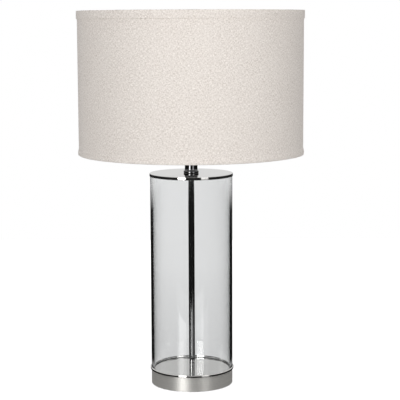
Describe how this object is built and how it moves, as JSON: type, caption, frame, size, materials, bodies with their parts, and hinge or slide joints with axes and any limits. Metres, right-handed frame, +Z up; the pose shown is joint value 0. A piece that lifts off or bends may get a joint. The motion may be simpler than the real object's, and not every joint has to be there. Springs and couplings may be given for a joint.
{
  "type": "table lamp",
  "caption": "Table lamp with a clear glass cylinder body on a brushed metal drum, a thin centre tube, a short dark neck and a straight linen drum shade.",
  "frame": {"origin": "on the lamp's axis at the underside of the felt pad, where the lamp stands", "axes": "+Z up along the lamp's axis, -Y towards the front, +Y towards the cord inlet in the back of the drum, +X to the right seen from the front"},
  "size_m": [0.406, 0.406, 0.6776],
  "materials": {
    "felt": "dense dark felt",
    "zinc_steel": "zinc plated steel",
    "brushed_nickel": "nickel, finely brushed round the drum",
    "polished_nickel": "nickel, mirror polished",
    "dark_nickel": "black nickel, mirror polished",
    "cast_iron": "cast, painted dark grey",
    "black_rubber": "moulded, slightly satin",
    "clear_seal": "clear soft seal",
    "clear_glass": "clear glass tube, polished ends",
    "black_plastic": "black thermoset, semi gloss",
    "fibre": "brown vulcanised fibre",
    "porcelain": "white glazed ceramic",
    "brass": "bright brass",
    "linen": "natural oatmeal linen with slubs",
    "white_lining": "stiff white lining sheet",
    "white_wire": "white coated steel wire",
    "opal_glass": "white frosted bulb glass",
    "bulb_metal": "bright rolled screw cap"
  },
  "bodies": {
    "lamp": {"felt_pad": "felt", "base_cover": "zinc_steel", "cover_screws": "zinc_steel", "base_drum": "brushed_nickel", "base_weight": "cast_iron", "cord_grommet": "black_rubber", "base_washer": "zinc_steel", "spring_washer": "zinc_steel", "base_nut": "zinc_steel", "glass_tray": "polished_nickel", "lower_gasket": "clear_seal", "glass_cylinder": "clear_glass", "upper_gasket": "clear_seal", "threaded_rod": "zinc_steel", "centre_tube": "polished_nickel", "cap_plate": "polished_nickel", "cap_washer": "zinc_steel", "cap_nut": "zinc_steel", "neck_collar": "dark_nickel", "holder_cap": "black_plastic", "grub_screw": "zinc_steel", "holder_body": "black_plastic", "socket_insulator": "porcelain", "terminal_screws": "brass", "screw_shell": "brass", "centre_contact": "brass"},
    "switch_bar": {"switch_bar": "black_plastic"},
    "shade": {"shade_fabric": "linen", "shade_lining": "white_lining", "top_wire_ring": "white_wire", "bottom_wire_ring": "white_wire", "top_binding": "linen", "bottom_binding": "linen", "shade_spokes": "white_wire", "fitter_ring": "white_wire"},
    "ring_slide": {"ring_washer": "fibre"},
    "clamp_ring": {"clamp_ring": "black_plastic"},
    "bulb_slide": {"bulb_contact": "zinc_steel"},
    "bulb": {"bulb_cap": "bulb_metal", "bulb_envelope": "opal_glass"}
  },
  "joints": [
    {"name": "switch_push", "type": "slide", "parent": "lamp", "child": "switch_bar", "axis": [1, 0, 0], "range_m": [0, 0.005]},
    {"name": "shade_turn", "type": "hinge", "parent": "lamp", "child": "shade", "pos_m": [0, 0, 0.4519], "axis": [0, 0, 1], "continuous": true},
    {"name": "clamp_ring_rise", "type": "slide", "parent": "lamp", "child": "ring_slide", "axis": [0, 0, 1], "range_m": [0, 0.0176]},
    {"name": "clamp_ring_turn", "type": "hinge", "parent": "ring_slide", "child": "clamp_ring", "pos_m": [0, 0, 0.458], "axis": [0, 0, 1], "range_deg": [0, 2520]},
    {"name": "bulb_rise", "type": "slide", "parent": "lamp", "child": "bulb_slide", "axis": [0, 0, 1], "range_m": [0, 0.0219]},
    {"name": "bulb_turn", "type": "hinge", "parent": "bulb_slide", "child": "bulb", "pos_m": [0, 0, 0.458], "axis": [0, 0, 1], "range_deg": [0, 2160]}
  ],
  "couplings": [
    {"joint": "clamp_ring_rise", "follows": "clamp_ring_turn", "m_per_rad": 0.00039789},
    {"joint": "bulb_rise", "follows": "bulb_turn", "m_per_rad": 0.00057757}
  ]
}
